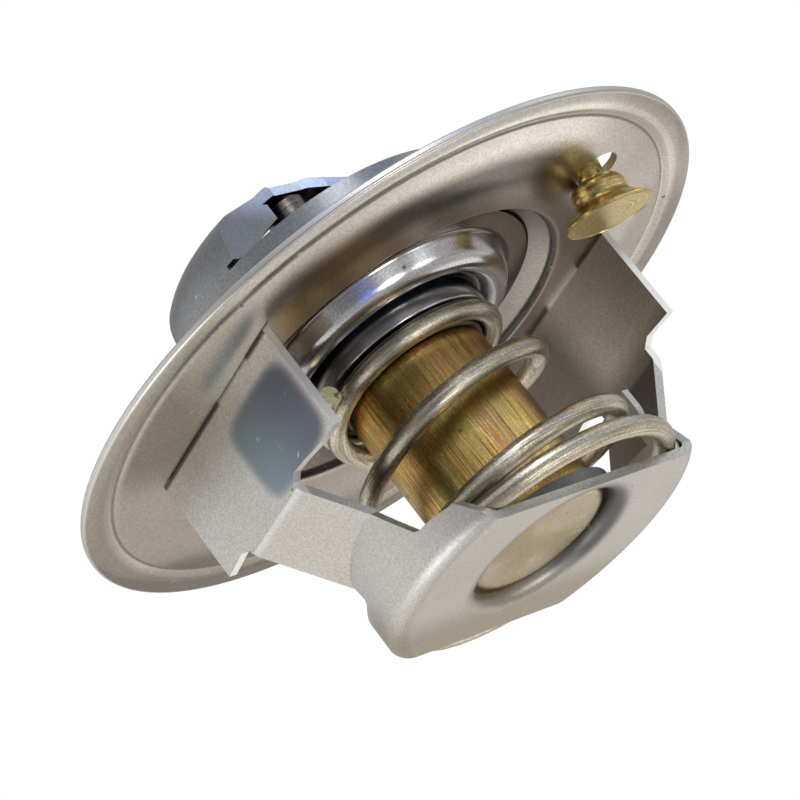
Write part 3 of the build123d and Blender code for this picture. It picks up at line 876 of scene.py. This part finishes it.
def rounded(corners, steps=5):
    """The closed outline with each corner cut by a short curve as long as its rounding, in metres."""
    outline = []
    for index, (radius, height, cut) in enumerate(corners):
        here = Vector((radius, height)) * MM
        cut = cut * MM
        if cut == 0.0:
            outline.append(here)
            continue
        before = Vector(corners[index - 1][:2]) * MM - here
        after = Vector(corners[(index + 1) % len(corners)][:2]) * MM - here
        start = here + before.normalized() * min(cut, before.length * ROUNDING_SHARE)
        end = here + after.normalized() * min(cut, after.length * ROUNDING_SHARE)
        for step in range(steps + 1):
            share = step / steps
            outline.append((1 - share) ** 2 * start + 2 * share * (1 - share) * here + share**2 * end)
    return outline


def turn_on_lathe(name, outline, ring):
    """A solid of revolution about Z, closed to a ring or else capped at both ends."""
    deselect()
    start = outline[0]
    ends = "NOTHING" if ring else "NGON"
    bpy.ops.mesh.primitive_circle_add(
        vertices=LATHE_SIDES, radius=start.x, fill_type=ends, location=(0, 0, start.y))
    turned = bpy.context.object
    turned.name = name
    bpy.ops.object.mode_set(mode="EDIT")
    bpy.ops.mesh.select_all(action="SELECT")
    following = outline[1:] + outline[:1] if ring else outline[1:]
    for last, point in zip(outline, following):
        bpy.ops.mesh.extrude_edges_move()
        scale = point.x / last.x
        bpy.ops.transform.resize(value=(scale, scale, 1.0))
        bpy.ops.transform.translate(value=(0, 0, point.y - last.y))
    if not ring:
        bpy.ops.mesh.edge_face_add()
    close_seams()
    return turned


class VALVE_OT_valve_plate(Operator):
    """Turns the valve plate with its wide groove and its drawn bead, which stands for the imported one"""

    bl_idname = "valve.valve_plate"
    bl_label = "Valve plate"

    def execute(self, context):
        plate = turn_on_lathe("valve_plate", rounded(PLATE_CORNERS), True)
        plate.location.z += FLANGE_Z
        bpy.ops.object.transform_apply(location=True, rotation=True, scale=True)
        bpy.ops.object.shade_smooth_by_angle(angle=TURNED_ANGLE)
        plate.data.materials.append(valve_metal())
        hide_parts("valve_disc")
        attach(plate, "element")
        return {"FINISHED"}


def ramp(turn, table):
    """The table's value at a turn of the coil, straight between its entries."""
    place = 0
    while place < len(COIL_TURN) - 2 and turn > COIL_TURN[place + 1]:
        place += 1
    share = (turn - COIL_TURN[place]) / (COIL_TURN[place + 1] - COIL_TURN[place])
    return table[place] + share * (table[place + 1] - table[place])


def eased(turn, table):
    """The table's value, rounded over a short stretch of the coil."""
    low, high = COIL_TURN[0], COIL_TURN[-1]
    near = [min(high, max(low, turn + shift)) for shift in COIL_EASE]
    return sum(ramp(value, table) for value in near) / len(near)


class VALVE_OT_main_spring(Operator):
    """Winds the conical main spring of round wire"""

    bl_idname = "valve.main_spring"
    bl_label = "Main spring"

    def execute(self, context):
        look = context.scene.valve_look
        deselect()
        bpy.ops.curve.primitive_nurbs_path_add(location=(0, 0, 0))
        coil = context.object
        curve = coil.data
        curve.splines.clear()
        turns = list(range(COIL_TURN[0], COIL_TURN[-1] + 1, COIL_STEP))
        spline = curve.splines.new("POLY")
        spline.points.add(len(turns) - 1)
        for point, turn in zip(spline.points, turns):
            theta = radians(COIL_START - turn)
            radius = eased(turn, COIL_R) * MM
            height = FLANGE_Z + eased(turn, COIL_Z) * MM
            point.co = (radius * cos(theta), radius * sin(theta), height, 1.0)
        curve.dimensions = "3D"
        curve.twist_mode = "MINIMUM"
        curve.bevel_depth = look.wire_radius
        curve.bevel_resolution = COIL_BEVEL
        curve.use_fill_caps = True
        bpy.ops.object.convert(target="MESH")
        coil = context.object
        coil.name = "main_spring_coil"
        bpy.ops.object.mode_set(mode="EDIT")
        close_seams()
        bpy.ops.object.shade_smooth_by_angle(angle=COIL_ANGLE)
        coil.data.materials.clear()
        coil.data.materials.append(wire_metal())
        coil.data.materials.append(cut_wire())
        for face in coil.data.polygons:
            if len(face.vertices) == CAP_CORNERS:
                face.material_index = 1
        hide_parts("main_spring")
        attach(coil, "housing")
        low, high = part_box("main_spring")
        height = high.z - low.z
        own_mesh(coil)
        return {"FINISHED"}


def area_light(name, place, width, power, tone):
    """A round soft lamp that looks at the middle of the part."""
    data = bpy.data.lights.new(name, "AREA")
    data.shape = "DISK"
    data.size = width
    data.energy = power
    data.color = tone
    lamp = bpy.data.objects.new(name, data)
    bpy.context.scene.collection.objects.link(lamp)
    lamp.location = place
    lamp.rotation_mode = "QUATERNION"
    lamp.rotation_quaternion = (LAMP_AIM - Vector(place)).to_track_quat("-Z", "Y")


def photo_camera():
    """The camera that the photograph was taken with, as solved from it."""
    a, e, r = radians(CAMERA_AZIMUTH), radians(CAMERA_ELEVATION), radians(CAMERA_ROLL)
    forward = Vector((-sin(a) * cos(e), cos(a) * cos(e), -sin(e)))
    data = bpy.data.cameras.new("photo_camera")
    data.lens = CAMERA_LENS
    data.sensor_width = CAMERA_SENSOR
    data.clip_start = CAMERA_NEAR
    camera = bpy.data.objects.new("photo_camera", data)
    bpy.context.scene.collection.objects.link(camera)
    camera.location = CAMERA_PLACE
    level = forward.to_track_quat("-Z", "Y")
    camera.rotation_mode = "QUATERNION"
    camera.rotation_quaternion = Quaternion(forward, -r) @ level
    bpy.context.scene.camera = camera


def studio_world(studio):
    """A soft surround in the reflections and plain white behind the part."""
    world = bpy.data.worlds.new("studio")
    bpy.context.scene.world = world
    desk = cleared_desk(world)
    way = desk.add("ShaderNodeTexCoord").outputs["Generated"]
    tone = colour("surround")
    for toward, low, high, lobe in LOBES:
        node = desk.add("ShaderNodeVectorMath", operation="DOT_PRODUCT")
        desk.link(way, node.inputs[0])
        node.inputs[1].default_value = Vector(toward).normalized()
        tone = desk.mix(desk.step(node.outputs["Value"], low, high), tone, opaque(lobe))
    soft = desk.add("ShaderNodeBackground")
    desk.put(soft, Color=tone, Strength=studio.world_level)
    white = desk.add("ShaderNodeBackground")
    desk.put(white, Color=colour("white"), Strength=1.0)
    path = desk.add("ShaderNodeLightPath")
    mixed_output(desk, "ShaderNodeOutputWorld", path.outputs["Is Camera Ray"], soft, white)


def floor_material():
    """Pale floor that shows from above and is clear from below, where the photograph looks from."""
    material = bpy.data.materials.new("pale_floor")
    desk = cleared_desk(material)
    pale = desk.add("ShaderNodeBsdfDiffuse")
    desk.put(pale, Color=colour("floor"))
    clear = desk.add("ShaderNodeBsdfTransparent")
    path = desk.add("ShaderNodeLightPath")
    side = desk.add("ShaderNodeNewGeometry")
    above = desk.minus(1.0, side.outputs["Backfacing"])
    shown = desk.times(path.outputs["Is Camera Ray"], above)
    mixed_output(desk, "ShaderNodeOutputMaterial", shown, clear, pale)
    return material


class VALVE_OT_stage(Operator):
    """Sets the floor, the soft lights, the surround and the camera"""

    bl_idname = "valve.stage"
    bl_label = "Studio"

    def execute(self, context):
        studio = context.scene.valve_studio
        context.scene.view_settings.view_transform = "Standard"
        deselect()
        bpy.ops.mesh.primitive_plane_add(size=studio.floor_size, location=(0, 0, -FLOOR_DROP))
        floor = context.object
        floor.name = "floor"
        floor.data.materials.append(floor_material())
        studio_world(studio)
        for name, place, width, share, tone in LAMPS:
            area_light(name, place, width, studio.key_power * share, tone)
        photo_camera()
        return {"FINISHED"}


OPERATORS = (
    VALVE_OT_groups,
    VALVE_OT_sheet_metal,
    VALVE_OT_element,
    VALVE_OT_jiggle_pin,
    VALVE_OT_valve_plate,
    VALVE_OT_main_spring,
    VALVE_OT_stage,
)


class VALVE_PT_panel(Panel):
    bl_label = "Wax valve"
    bl_idname = "VALVE_PT_panel"
    bl_space_type = "VIEW_3D"
    bl_region_type = "UI"
    bl_category = "Wax valve"

    def draw(self, context):
        layout = self.layout
        for owner in (context.scene.valve_look, context.scene.valve_studio):
            box = layout.box()
            for name in owner.bl_rna.properties.keys():
                if name not in ("rna_type", "name"):
                    box.prop(owner, name)
        for operator in OPERATORS:
            layout.operator(operator.bl_idname)


CLASSES = (ValveLook, ValveStudio, *OPERATORS, VALVE_PT_panel)


def register():
    for item in CLASSES:
        bpy.utils.register_class(item)
    bpy.types.Scene.valve_look = PointerProperty(type=ValveLook)
    bpy.types.Scene.valve_studio = PointerProperty(type=ValveStudio)


def unregister():
    del bpy.types.Scene.valve_studio
    del bpy.types.Scene.valve_look
    for item in reversed(CLASSES):
        bpy.utils.unregister_class(item)


def main():
    register()
    bpy.ops.valve.groups()
    bpy.ops.valve.sheet_metal()
    bpy.ops.valve.element()
    bpy.ops.valve.jiggle_pin()
    bpy.ops.valve.valve_plate()
    bpy.ops.valve.main_spring()
    bpy.ops.valve.stage()


if __name__ == "__main__":
    main()
